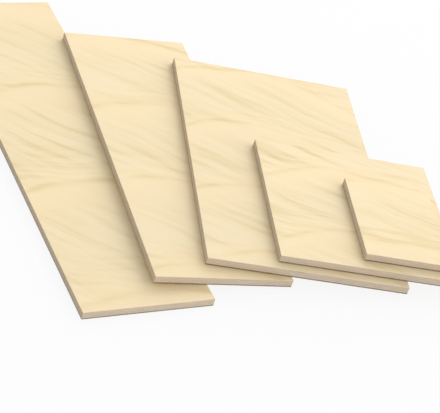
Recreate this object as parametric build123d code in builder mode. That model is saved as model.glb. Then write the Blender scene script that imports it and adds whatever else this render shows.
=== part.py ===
from build123d import *
import os
from math import asin, atan2, degrees, hypot

# Stack of plywood sheets. Millimetres, +Z up, floor at Z = 0.
# Five rectangular sheets of one thickness, fanned out, each on the one below it.
# X runs along the width of the lowest sheet, Y along its length, towards the back.
# The origin is the centre of its underside.

# One thickness for all the sheets
thickness = 18.0

# The edges of a sheet are eased by light sanding
arris = 0.8

# Width and length of each sheet, from the lowest to the topmost
width_1, length_1 = 285.0, 1110.0
width_2, length_2 = 305.0, 895.0
width_3, length_3 = 445.0, 765.0
width_4, length_4 = 415.0, 420.0
width_5, length_5 = 200.0, 270.0

# Where the front left corner of a sheet lies on the sheet below:
# to the right and towards the back, from that sheet's own front left corner
right_2, back_2 = 169.0, 57.0
right_3, back_3 = 120.0, 43.0
right_4, back_4 = 156.0, 21.0
right_5, back_5 = 189.0, 27.0

# Clockwise turn of a sheet from the one below, in degrees, seen from above
turn_2 = 6.5
turn_3 = 9.9
turn_4 = 0.0
turn_5 = 0.0


def laid_on(below, right, back, turn):
    """The underside of a sheet that lies flat on the sheet below."""
    corner = below.from_local_coords(Vector(right, back, thickness))
    return Plane(corner, below.x_dir, below.z_dir).rotated((0, 0, -turn))


# Undersides of the sheets, laid level, each with its origin at the front left corner
level_1 = Plane((-width_1 / 2, -length_1 / 2, 0))
level_2 = laid_on(level_1, right_2, back_2, turn_2)
level_3 = laid_on(level_2, right_3, back_3, turn_3)
level_4 = laid_on(level_3, right_4, back_4, turn_4)
level_5 = laid_on(level_4, right_5, back_5, turn_5)

upper = [
    ("sheet_2", level_2, width_2, length_2),
    ("sheet_3", level_3, width_3, length_3),
    ("sheet_4", level_4, width_4, length_4),
    ("sheet_5", level_5, width_5, length_5),
]

# The middle of the upper sheets is past the right edge of the lowest sheet,
# so they tip over that edge together, until a right corner meets the floor
edge_x = width_1 / 2
area = 0.0
moment = 0.0
leans = []
for name, level, width, length in upper:
    middle = level.from_local_coords(Vector(width / 2, length / 2, 0))
    area += width * length
    moment += width * length * (middle.X - edge_x)
    for along in (0, length):
        corner = level.from_local_coords(Vector(width, along, 0))
        reach = corner.X - edge_x
        rise = corner.Z - thickness
        if reach > thickness:
            leans.append(asin(thickness / hypot(reach, rise)) + atan2(rise, reach))

lean = degrees(min(leans)) if leans and moment / area > 0 else 0.0
edge = Pos(edge_x, 0, thickness)
tip = edge * Rot(0, lean, 0) * edge.inverse()

sheets = [("sheet_1", level_1, width_1, length_1)]
for name, level, width, length in upper:
    sheets.append((name, Plane(tip * level.location), width, length))

os.makedirs("parts", exist_ok=True)

for name, underside, width, length in sheets:
    with BuildPart() as sheet:
        with BuildSketch(underside):
            Rectangle(width, length, align=(Align.MIN, Align.MIN))
        extrude(amount=thickness)
        fillet(sheet.edges(), arris)
    sheet.part.label = name
    export_step(sheet.part, f"parts/{name}.step")
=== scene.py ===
from collections import namedtuple
from math import asin, atan2, cos, hypot, radians, sin

import bpy
from mathutils import Matrix, Vector


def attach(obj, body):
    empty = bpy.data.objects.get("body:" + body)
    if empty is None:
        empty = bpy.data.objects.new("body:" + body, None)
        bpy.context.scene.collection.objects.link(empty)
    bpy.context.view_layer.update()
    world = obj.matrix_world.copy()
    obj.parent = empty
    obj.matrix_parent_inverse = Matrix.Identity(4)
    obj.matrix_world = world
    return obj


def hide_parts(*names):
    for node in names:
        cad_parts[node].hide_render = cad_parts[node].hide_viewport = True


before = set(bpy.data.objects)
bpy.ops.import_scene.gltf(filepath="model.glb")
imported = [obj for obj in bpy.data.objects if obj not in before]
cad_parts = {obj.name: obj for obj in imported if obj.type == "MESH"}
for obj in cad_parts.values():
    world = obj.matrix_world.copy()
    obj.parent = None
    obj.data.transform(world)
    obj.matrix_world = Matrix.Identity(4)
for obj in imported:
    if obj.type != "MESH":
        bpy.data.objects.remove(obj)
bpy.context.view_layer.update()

# Sizes of the sheets, in metres: the same values as in the part's source
THICK = 0.018
ARRIS = 0.0008
SIZES = [(0.285, 1.110), (0.305, 0.895), (0.445, 0.765), (0.415, 0.420), (0.200, 0.270)]
STEPS = [(0.169, 0.057, 6.5), (0.120, 0.043, 9.9), (0.156, 0.021, 0.0), (0.189, 0.027, 0.0)]

# Plies of a sheet, and the groove at each glue line
PLIES = 9
PLY = THICK / PLIES
GROOVE_DEPTH = 0.00008
GROOVE_HALF = 0.00010

# Directions round an eased edge, in degrees
ROUNDING = (0, 30, 60, 90)

# Relief of the wood's surface, which only its material shows
RELIEF = 0.0002


# Where the sheets lie

def resting_places():
    """A matrix for each sheet, with its origin at the front left corner of the underside."""
    places = [Matrix.Translation((-SIZES[0][0] / 2, -SIZES[0][1] / 2, 0))]
    for right, back, turn in STEPS:
        step = Matrix.Translation((right, back, THICK)) @ Matrix.Rotation(-radians(turn), 4, "Z")
        places.append(places[-1] @ step)
    edge_x = SIZES[0][0] / 2
    leans = []
    for place, (width, length) in zip(places[1:], SIZES[1:]):
        for along in (0, length):
            corner = place @ Vector((width, along, 0))
            reach = corner.x - edge_x
            rise = corner.z - THICK
            leans.append(asin(THICK / hypot(reach, rise)) + atan2(rise, reach))
    edge = Matrix.Translation((edge_x, 0, THICK))
    tip = edge @ Matrix.Rotation(min(leans), 4, "Y") @ edge.inverted()
    return places[:1] + [tip @ place for place in places[1:]]


# Mesh of a sheet

def edge_profile():
    """Inset and height of each line round the sheet, from the underside to the top face."""
    rows = []
    for degrees in ROUNDING:
        a = radians(degrees)
        rows.append((ARRIS * (1 - sin(a)), ARRIS * (1 - cos(a))))
    for seam in range(1, PLIES):
        z = seam * PLY
        rows += [(0.0, z - GROOVE_HALF), (GROOVE_DEPTH, z), (0.0, z + GROOVE_HALF)]
    for degrees in reversed(ROUNDING):
        a = radians(degrees)
        rows.append((ARRIS * (1 - sin(a)), THICK - ARRIS * (1 - cos(a))))
    return rows


def outline(width, length, inset):
    """Points round the sheet, its corners eased as its other edges are."""
    corners = [(width, 0, -90), (width, length, 0), (0, length, 90), (0, 0, 180)]
    points = []
    for x, y, start in corners:
        centre_x = x + (ARRIS if x == 0 else -ARRIS)
        centre_y = y + (ARRIS if y == 0 else -ARRIS)
        radius = ARRIS - inset
        for degrees in ROUNDING:
            a = radians(start + degrees)
            points.append((centre_x + radius * cos(a), centre_y + radius * sin(a)))
    return points


def sheet_mesh(name, width, length):
    """Rings of points from the underside to the top face, joined by faces and closed at both ends."""
    verts = []
    faces = []
    profile = edge_profile()
    for inset, z in profile:
        verts += [(x, y, z) for x, y in outline(width, length, inset)]
    count = len(verts) // len(profile)
    for ring in range(len(profile) - 1):
        for side in range(count):
            a = ring * count + side
            b = ring * count + (side + 1) % count
            faces.append((a, b, b + count, a + count))
    faces.append(tuple(reversed(range(count))))
    faces.append(tuple(range(len(verts) - count, len(verts))))
    mesh = bpy.data.meshes.new(name)
    mesh.from_pydata(verts, [], faces)
    mesh.update()
    return mesh


def is_veneer(normal):
    """The top face with its eased edge, and the underside without it."""
    return normal.z > 0.3 or normal.z < -0.99


# Node helpers

class Nodes:
    """Short names for building one node tree."""

    def __init__(self, tree):
        self.tree = tree

    def add(self, kind, **values):
        node = self.tree.nodes.new(kind)
        for key, value in values.items():
            setattr(node, key, value)
        return node

    def put(self, socket, value):
        if isinstance(value, bpy.types.NodeSocket):
            self.tree.links.new(value, socket)
        else:
            socket.default_value = value

    def math(self, operation, a, b=0.0, c=0.0, clamp=False):
        node = self.add("ShaderNodeMath", operation=operation, use_clamp=clamp)
        for socket, value in zip(node.inputs, (a, b, c)):
            self.put(socket, value)
        return node.outputs[0]

    def weigh(self, value, weight, total, clamp=False):
        """The total with a weighted value added."""
        return self.math("MULTIPLY_ADD", value, weight, total, clamp)

    def centred(self, value):
        """A noise value of 0 to 1, shifted to lie about 0."""
        return self.math("SUBTRACT", value, 0.5)

    def vmath(self, operation, a, b):
        node = self.add("ShaderNodeVectorMath", operation=operation)
        self.put(node.inputs[0], a)
        self.put(node.inputs[1], b)
        return node.outputs[0]

    def dot(self, a, b):
        node = self.add("ShaderNodeVectorMath", operation="DOT_PRODUCT")
        self.put(node.inputs[0], a)
        self.put(node.inputs[1], b)
        return node.outputs["Value"]

    def split(self, vector):
        node = self.add("ShaderNodeSeparateXYZ")
        self.put(node.inputs[0], vector)
        return node.outputs

    def noise_node(self, vector, scale, detail, rough=0.5):
        node = self.add("ShaderNodeTexNoise")
        self.put(node.inputs["Vector"], vector)
        node.inputs["Scale"].default_value = scale
        node.inputs["Detail"].default_value = detail
        node.inputs["Roughness"].default_value = rough
        return node

    def noise(self, vector, scale, detail, rough=0.5):
        return self.noise_node(vector, scale, detail, rough).outputs[0]

    def stretched_noise(self, vector, scales, detail, rough=0.5):
        """Noise with a scale of its own along each axis."""
        return self.noise(self.vmath("MULTIPLY", vector, scales), 1.0, detail, rough)

    def ramp(self, factor, stops):
        """Colours, or grey levels where a stop has a number, along the factor."""
        node = self.add("ShaderNodeValToRGB")
        elements = node.color_ramp.elements
        while len(elements) < len(stops):
            elements.new(0.5)
        for element, (position, value) in zip(elements, stops):
            element.position = position
            element.color = value if isinstance(value, tuple) else (value, value, value, 1)
        self.put(node.inputs[0], factor)
        return node.outputs[0]

    def mix(self, factor, a, b, blend="MIX"):
        """Two colours mixed: in this node the colours are inputs 6 and 7, and the result output 2."""
        node = self.add("ShaderNodeMix", data_type="RGBA", blend_type=blend)
        self.put(node.inputs["Factor"], factor)
        self.put(node.inputs[6], a)
        self.put(node.inputs[7], b)
        return node.outputs[2]

    def span(self, value, low, high, to_low=0.0, to_high=1.0):
        node = self.add("ShaderNodeMapRange")
        self.put(node.inputs["Value"], value)
        ends = (("From Min", low), ("From Max", high), ("To Min", to_low), ("To Max", to_high))
        for key, number in ends:
            node.inputs[key].default_value = number
        return node.outputs[0]

    def bump(self, strength, height):
        node = self.add("ShaderNodeBump")
        node.inputs["Strength"].default_value = strength
        node.inputs["Distance"].default_value = RELIEF
        self.put(node.inputs["Height"], height)
        return node.outputs[0]

    def background_ray(self):
        """1 where the ray shows the background: to the camera, in gloss or through glass."""
        path = self.add("ShaderNodeLightPath").outputs
        straight = self.math("ADD", path["Is Camera Ray"], path["Is Glossy Ray"])
        return self.math("ADD", straight, path["Is Transmission Ray"], clamp=True)


def display(r, g, b):
    """Linear colour, with alpha, of an 8-bit display colour."""
    out = []
    for value in (r, g, b):
        c = value / 255
        out.append(c / 12.92 if c <= 0.04045 else ((c + 0.055) / 1.055) ** 2.4)
    return (*out, 1.0)


def material(name):
    mat = bpy.data.materials.new(name)
    mat.use_nodes = True
    mat.node_tree.nodes.clear()
    n = Nodes(mat.node_tree)
    shader = n.add("ShaderNodeBsdfPrincipled")
    out = n.add("ShaderNodeOutputMaterial")
    n.put(out.inputs["Surface"], shader.outputs[0])
    return mat, n, shader, out


def sheet_point(n, place, point):
    """A point of the model as seen from the sheet's own front left corner."""
    node = n.add("ShaderNodeMapping", vector_type="TEXTURE")
    n.put(node.inputs["Vector"], point)
    node.inputs["Location"].default_value = place.translation
    node.inputs["Rotation"].default_value = place.to_euler()
    return node.outputs[0]


def sheet_normal(n, place, normal):
    """A normal of the model as seen along the sheet's own edges."""
    node = n.add("ShaderNodeMapping", vector_type="NORMAL")
    n.put(node.inputs["Vector"], normal)
    node.inputs["Rotation"].default_value = place.to_3x3().inverted().to_euler()
    return node.outputs[0]


# Finish of the plywood

# Colours of the face veneer, from the palest wood to the darkest grain
VENEER_TONES = [
    (0.0, display(254, 232, 191)),
    (0.30, display(250, 226, 182)),
    (0.65, display(239, 214, 163)),
    (1.0, display(222, 198, 143)),
]
STREAKED_TINT = (0.958, 0.970, 0.978, 1)

# Colours of the sawn edge
LONG_GRAIN_TONES = [(0.25, display(212, 189, 166)), (0.70, display(226, 205, 183))]
CUT_GRAIN_TONES = [(0.25, display(196, 173, 150)), (0.75, display(219, 197, 173))]
GLUE_TONE = display(112, 82, 56)
# Painted shade darkening the side faces
PAINTED_SIDE_SHADE_TONE = display(106, 94, 66)
# Painted contact shadow along the lower arris
PAINTED_SHADOW_TONE = display(84, 68, 46)

# How much of each of them shows
GLUE_SHARE = 0.78
PAINTED_SIDE_SHADE_SHARE = 0.30
PAINTED_SHADOW_SHARE = 0.92

# Edge: how far the glue lines wave, in plies, and how far each reaches from its middle
PLY_WAVE = 0.22
GLUE_REACH = (0.025, 0.10)

# Edge: stretch of its streaks along the edge and across the plies, the shift of the streaks
# from ply to ply in x and y, and the fineness of its pores
EDGE_STREAK_ALONG = 26.0
EDGE_STREAK_ACROSS = 900.0
PLY_SHIFT = (3.7, 5.1)
PORE_SCALE = (1700.0, 1700.0, 900.0)

# Edge: painted contact shadow along the lower arris: heights between which it fades out,
# how far they wave, and how much less of it is on the sides
PAINTED_SHADOW_FADE = (0.0018, 0.0042)
PAINTED_SHADOW_WAVE = 0.0008
PAINTED_SHADOW_OFF_SIDES = 0.55

# A face counts as a side where its normal has more than this along the sheet's width
SIDE_NORMAL = 0.7

# Step in the noise from one sheet to the next, so that each has grain of its own
GRAIN_STEP = (1.7, 2.3, 0.9)

# Fineness of the streaks along and across their direction, and the turn of the
# flatter ones as a share of the slant
SLANT_GRAIN = (3.2, 40.0)
FLAT_GRAIN = (3.0, 56.0)
FLAT_TURN = 0.2

# Darkness of the veneer: its ground level, and the weight of each part of the figure
GROUND_DARK = 0.14
SLANT_WEIGHT = 0.55
FLAT_WEIGHT = 0.44
FIBRE_WEIGHT = 0.50
CLOUD_WEIGHT = 0.30

# Along one period of the figure, from one arc to the next: where the arc itself,
# the slanting streaks and the flatter streaks are
ARC_PLACE = [(0.0, 1.0), (0.012, 0.85), (0.05, 0.0), (0.955, 0.0), (1.0, 1.0)]
SLANT_PLACE = [(0.12, 0.12), (0.40, 1.0), (0.76, 1.0), (0.98, 0.25)]
FLAT_PLACE = [(0.0, 0.50), (0.08, 0.08), (0.58, 0.20), (0.84, 1.0), (1.0, 0.6)]

# Bow of the arcs, as the rise for a distance of 1 m from their middle
ARC_BOW = 1.6

# Keeps the count of periods above zero all over a sheet
WHOLE_TURNS = 20.0

# Figure of a face: spacing of the arcs and place of the first, slant of the streaks
# in degrees, middle of the arcs, depth of the arcs and of the streaks, and a factor on its
# colour, partly the sheet's own tone and partly painted shade offsetting the light it gets
Figure = namedtuple("Figure", "period first_arc slant middle arc_depth streak_depth shade")
FIGURES = [
    Figure(0.355, 0.050, 46, 0.145, 0.55, 1.10, 1.005),
    Figure(0.285, 0.330, 37, 0.120, 0.50, 0.85, 0.97),
    Figure(0.240, 0.285, 30, 0.170, 0.42, 1.05, 0.96),
    Figure(0.230, 0.120, 26, 0.200, 0.28, 1.15, 0.98),
    Figure(0.220, 0.060, 24, 0.100, 0.25, 1.30, 0.99),
]


def streaks(n, point, turn, grain):
    """Soft streaks with some darker lines, from noise drawn out along one direction."""
    along, across = grain
    spin = n.add("ShaderNodeMapping")
    n.put(spin.inputs["Vector"], point)
    spin.inputs["Rotation"].default_value = (0, 0, radians(turn))
    wide = n.stretched_noise(spin.outputs[0], (along, across, 1.0), 2.0)
    thin = n.stretched_noise(spin.outputs[0], (along * 1.8, across * 2.7, 1.0), 2.0)
    soft = n.math("MULTIPLY", n.centred(wide), 1.9)
    lines = n.weigh(n.span(wide, 0.50, 0.70), 0.26, soft)
    return n.weigh(n.centred(thin), 0.9, lines)


def veneer(name, number, place, figure):
    """Pale face veneer: thin flat arcs across the sheet, and slanting streaks between them."""
    mat, n, shader, _ = material(name)
    point = sheet_point(n, place, n.add("ShaderNodeTexCoord").outputs["Object"])
    shifted = n.vmath("ADD", point, tuple(number * step for step in GRAIN_STEP))
    wander = n.vmath("SUBTRACT", n.noise_node(shifted, 6.0, 1.0).outputs["Color"], (0.5, 0.5, 0.5))
    x, y, _ = n.split(n.vmath("ADD", point, n.vmath("MULTIPLY", wander, (0.03, 0.035, 0.0))))

    # Position within one period, from an arc towards the front
    across = n.math("SUBTRACT", x, figure.middle)
    bowed = n.weigh(n.math("MULTIPLY", across, across), ARC_BOW, y)
    turns = n.math("DIVIDE", n.math("SUBTRACT", figure.first_arc, bowed), figure.period)
    phase = n.math("FRACT", n.math("ADD", turns, WHOLE_TURNS))

    arc_strength = n.span(n.noise(shifted, 9.0, 1.0), 0.36, 0.62, 0.25, 1.0)
    arc = n.math("MULTIPLY", n.ramp(phase, ARC_PLACE), arc_strength)
    slant_place = n.ramp(phase, SLANT_PLACE)
    flat_place = n.ramp(phase, FLAT_PLACE)
    strayed = n.vmath("ADD", shifted, n.vmath("MULTIPLY", wander, (0.03, 0.05, 0.0)))
    slanting = n.math("MULTIPLY", streaks(n, strayed, figure.slant, SLANT_GRAIN), slant_place)
    flat_turn = figure.slant * FLAT_TURN
    flat = n.math("MULTIPLY", streaks(n, strayed, flat_turn, FLAT_GRAIN), flat_place)
    fibre = n.stretched_noise(shifted, (40.0, 900.0, 1.0), 3.0, 0.65)
    cloud = n.stretched_noise(shifted, (5.0, 9.0, 1.0), 2.0)

    dark = n.weigh(arc, figure.arc_depth, GROUND_DARK)
    dark = n.weigh(slanting, SLANT_WEIGHT * figure.streak_depth, dark)
    dark = n.weigh(flat, FLAT_WEIGHT * figure.streak_depth, dark)
    dark = n.weigh(n.centred(fibre), FIBRE_WEIGHT, dark)
    dark = n.weigh(n.centred(cloud), CLOUD_WEIGHT, dark, clamp=True)
    colour = n.ramp(dark, VENEER_TONES)
    colour = n.mix(slant_place, colour, STREAKED_TINT, "MULTIPLY")
    # Partly the sheet's own tone, partly painted shade: tipped sheets darkened for the extra light
    # they get
    colour = n.mix(1.0, colour, (figure.shade, figure.shade, figure.shade, 1), "MULTIPLY")
    n.put(shader.inputs["Base Color"], colour)
    n.put(shader.inputs["Roughness"], n.span(dark, 0.0, 1.0, 0.60, 0.70))
    shader.inputs["Specular IOR Level"].default_value = 0.25
    n.put(shader.inputs["Normal"], n.bump(0.08, n.math("ADD", fibre, dark)))
    return mat


def sawn_edge(name, number, place):
    """Sawn edge with the plies crossing: long grain pale, end grain darker, thin glue lines, painted
    shade on the sides and a painted contact shadow along the lower arris.
    """
    mat, n, shader, _ = material(name)
    coords = n.add("ShaderNodeTexCoord")
    point = sheet_point(n, place, coords.outputs["Object"])
    x, y, z = n.split(point)
    facing = n.split(sheet_normal(n, place, coords.outputs["Normal"]))
    side = n.math("GREATER_THAN", n.math("ABSOLUTE", facing[0]), SIDE_NORMAL)

    # Which ply, with slightly wavy glue lines, and where within it
    waving = n.vmath("ADD", n.vmath("MULTIPLY", point, (14, 14, 30)), (number, number * 2, 0))
    wave = n.noise(waving, 1.0, 2.0)
    level = n.weigh(n.centred(wave), PLY_WAVE, n.math("DIVIDE", z, PLY))
    index = n.math("FLOOR", level)
    within = n.math("FRACT", level)
    end_grain = n.math("ABSOLUTE", n.math("SUBTRACT", n.math("MODULO", index, 2.0), side))

    # Grain of its own for each ply
    shifted = n.add("ShaderNodeCombineXYZ")
    for socket, flat_axis, shift in zip(shifted.inputs, (x, y), PLY_SHIFT):
        along = n.math("MULTIPLY", flat_axis, EDGE_STREAK_ALONG)
        n.put(socket, n.weigh(index, shift, along))
    n.put(shifted.inputs[2], n.math("MULTIPLY", z, EDGE_STREAK_ACROSS))
    streak = n.noise(shifted.outputs[0], 1.0, 3.0, 0.6)
    pores = n.stretched_noise(point, PORE_SCALE, 2.0, 0.6)
    long_grain = n.ramp(streak, LONG_GRAIN_TONES)
    cut_grain = n.ramp(n.weigh(n.centred(pores), 0.7, streak), CUT_GRAIN_TONES)
    colour = n.mix(end_grain, long_grain, cut_grain)

    seam = n.math("MINIMUM", within, n.math("SUBTRACT", 1.0, within))
    glue = n.span(seam, *GLUE_REACH, 1.0, 0.0)
    colour = n.mix(n.math("MULTIPLY", glue, GLUE_SHARE), colour, GLUE_TONE)
    # Painted shade: the side faces darkened
    colour = n.mix(n.math("MULTIPLY", side, PAINTED_SIDE_SHADE_SHARE), colour, PAINTED_SIDE_SHADE_TONE)

    # Painted contact shadow along the lower arris, less on the sides
    painted_shadow = n.span(n.weigh(wave, PAINTED_SHADOW_WAVE, z), *PAINTED_SHADOW_FADE, PAINTED_SHADOW_SHARE, 0.0)
    painted_shadow = n.math("MULTIPLY", painted_shadow, n.weigh(side, -PAINTED_SHADOW_OFF_SIDES, 1.0))
    colour = n.mix(painted_shadow, colour, PAINTED_SHADOW_TONE)
    n.put(shader.inputs["Base Color"], colour)
    shader.inputs["Roughness"].default_value = 0.78
    shader.inputs["Specular IOR Level"].default_value = 0.2
    n.put(shader.inputs["Normal"], n.bump(0.25, n.math("ADD", pores, streak)))
    return mat


# The sheets

sheets = zip(resting_places(), SIZES, FIGURES)
for number, (place, (width, length), figure) in enumerate(sheets, start=1):
    mesh = sheet_mesh(f"plywood_{number}", width, length)
    mesh.materials.append(veneer(f"face_veneer_{number}", number, place, figure))
    mesh.materials.append(sawn_edge(f"sawn_edge_{number}", number, place))
    for face in mesh.polygons:
        face.material_index = 0 if is_veneer(face.normal) else 1
    mesh.transform(place)
    board = bpy.data.objects.new(f"plywood_{number}", mesh)
    bpy.context.scene.collection.objects.link(board)
    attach(board, "root")
    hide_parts(f"sheet_{number}")


# Floor

FLOOR_HALF = 12
# Share of the background's white in what is seen of the floor: the rest keeps the shadow
FLOOR_WHITE = 0.88


def add_floor():
    h = FLOOR_HALF
    mesh = bpy.data.meshes.new("floor")
    mesh.from_pydata([(-h, -h, 0), (h, -h, 0), (h, h, 0), (-h, h, 0)], [], [(0, 1, 2, 3)])
    floor = bpy.data.objects.new("floor", mesh)
    bpy.context.scene.collection.objects.link(floor)
    mat, n, shader, out = material("floor_white")
    shader.inputs["Base Color"].default_value = (0.90, 0.90, 0.90, 1)
    shader.inputs["Roughness"].default_value = 0.9
    shader.inputs["Specular IOR Level"].default_value = 0.0
    glow = n.add("ShaderNodeEmission")
    glow.inputs["Color"].default_value = (1, 1, 1, 1)
    glow.inputs["Strength"].default_value = 1.0
    blend = n.add("ShaderNodeMixShader")
    n.put(blend.inputs[0], n.math("MULTIPLY", n.background_ray(), FLOOR_WHITE))
    n.put(blend.inputs[1], shader.outputs[0])
    n.put(blend.inputs[2], glow.outputs[0])
    n.put(out.inputs["Surface"], blend.outputs[0])
    mesh.materials.append(mat)


add_floor()


# Light

# The sky is brighter towards the horizon and towards the right, and a little towards the back
SKY_SLOPE = (0.56, 0.16, -1.50)
SKY_LEVEL = 1.86

# It is slightly cool at the front left and slightly warm at the back right
WARM_SIDE = (0.80, 0.60, 0.0)
COOL_LIGHT = (0.91, 0.99, 1.05, 1)
WARM_LIGHT = (1.0, 0.985, 0.965, 1)


def add_world():
    world = bpy.data.worlds.new("studio")
    bpy.context.scene.world = world
    world.use_nodes = True
    world.node_tree.nodes.clear()
    n = Nodes(world.node_tree)
    seen = n.add("ShaderNodeBackground")
    seen.inputs["Color"].default_value = (1, 1, 1, 1)
    seen.inputs["Strength"].default_value = 1.0
    sky = n.add("ShaderNodeBackground")
    direction = n.add("ShaderNodeTexCoord").outputs["Generated"]
    n.put(sky.inputs["Strength"], n.math("ADD", n.dot(direction, SKY_SLOPE), SKY_LEVEL))
    warmth = n.span(n.dot(direction, WARM_SIDE), -0.8, 0.8)
    n.put(sky.inputs["Color"], n.mix(warmth, COOL_LIGHT, WARM_LIGHT))
    pick = n.add("ShaderNodeMixShader")
    n.put(pick.inputs[0], n.background_ray())
    n.put(pick.inputs[1], sky.outputs[0])
    n.put(pick.inputs[2], seen.outputs[0])
    n.put(n.add("ShaderNodeOutputWorld").inputs["Surface"], pick.outputs[0])


def area_light(name, spot, target, size, watts, colour):
    data = bpy.data.lights.new(name, "AREA")
    data.shape = "SQUARE"
    data.size = size
    data.energy = watts
    data.color = colour
    light = bpy.data.objects.new(name, data)
    bpy.context.scene.collection.objects.link(light)
    light.location = spot
    light.rotation_euler = (Vector(target) - Vector(spot)).to_track_quat("-Z", "Y").to_euler()


add_world()
area_light(
    "key",
    spot=(3.7, 3.2, 2.5),
    target=(0.3, -0.1, 0),
    size=3.4,
    watts=100,
    colour=(1.0, 0.975, 0.935),
)


# Camera: its place, angles in degrees and focal length in pixels, as solved from the photo

CAMERA_SPOT = (-1.23535, -2.64552, 2.06043)
CAMERA_HEADING = 32.412
CAMERA_PITCH = 35.989
CAMERA_ROLL = -16.108
FOCAL_PIXELS = 1603.48
PHOTO_WIDTH = 440
SENSOR = 36


def add_camera():
    heading = radians(CAMERA_HEADING)
    pitch = radians(CAMERA_PITCH)
    roll = radians(CAMERA_ROLL)
    forward = Vector((sin(heading) * cos(pitch), cos(heading) * cos(pitch), -sin(pitch)))
    level_right = Vector((cos(heading), -sin(heading), 0))
    level_down = forward.cross(level_right)
    right = level_right * cos(roll) + level_down * sin(roll)
    down = -level_right * sin(roll) + level_down * cos(roll)
    data = bpy.data.cameras.new("camera")
    data.sensor_width = SENSOR
    data.lens = FOCAL_PIXELS / PHOTO_WIDTH * SENSOR
    data.clip_end = 100
    cam = bpy.data.objects.new("camera", data)
    bpy.context.scene.collection.objects.link(cam)
    turn = Matrix((right, -down, -forward)).transposed().to_4x4()
    cam.matrix_world = Matrix.Translation(CAMERA_SPOT) @ turn
    bpy.context.scene.camera = cam


add_camera()
bpy.context.scene.view_settings.view_transform = "Standard"
